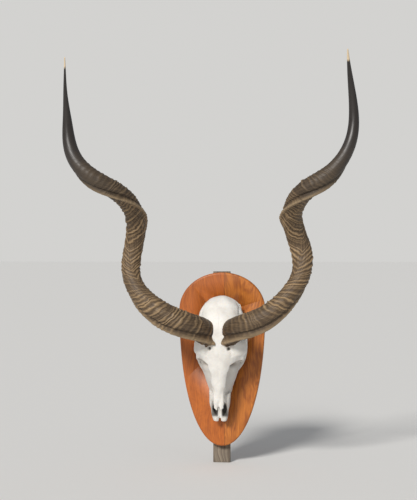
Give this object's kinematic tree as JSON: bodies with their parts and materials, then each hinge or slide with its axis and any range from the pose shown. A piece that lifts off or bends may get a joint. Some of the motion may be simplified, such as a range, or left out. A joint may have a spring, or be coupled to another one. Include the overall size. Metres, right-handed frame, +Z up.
{
  "type": "mounted kudu horns",
  "caption": "Pair of spiral antelope horns on a bleached upper skull, fixed to an egg-shaped wooden plaque that hangs by the wooden batten behind it.",
  "frame": {"origin": "on the batten's back face, which lies against the wall, level with the middle of the plaque", "axes": "+Z up along the batten, +Y into the wall, so the skull and horns face -Y; +X to the right of a person who faces the skull"},
  "size_m": [0.8433, 0.478, 1.2234],
  "materials": {
    "plaque_wood": "warm orange-brown wood with a satin clear finish",
    "batten_wood": "weathered grey-brown bare wood",
    "bone": "bleached white bone, matte",
    "horn": "ridged grey-brown horn, dark and smooth towards the pale tips",
    "screw_steel": "zinc-plated steel"
  },
  "bodies": {
    "root": {"plaque": "plaque_wood", "back_batten": "batten_wood", "skull": "bone", "left_horn": "horn", "right_horn": "horn", "batten_screw_1": "screw_steel", "batten_screw_2": "screw_steel", "batten_screw_3": "screw_steel", "batten_screw_4": "screw_steel", "skull_screw_1": "screw_steel", "skull_screw_2": "screw_steel", "skull_screw_3": "screw_steel", "skull_screw_4": "screw_steel"}
  },
  "joints": []
}
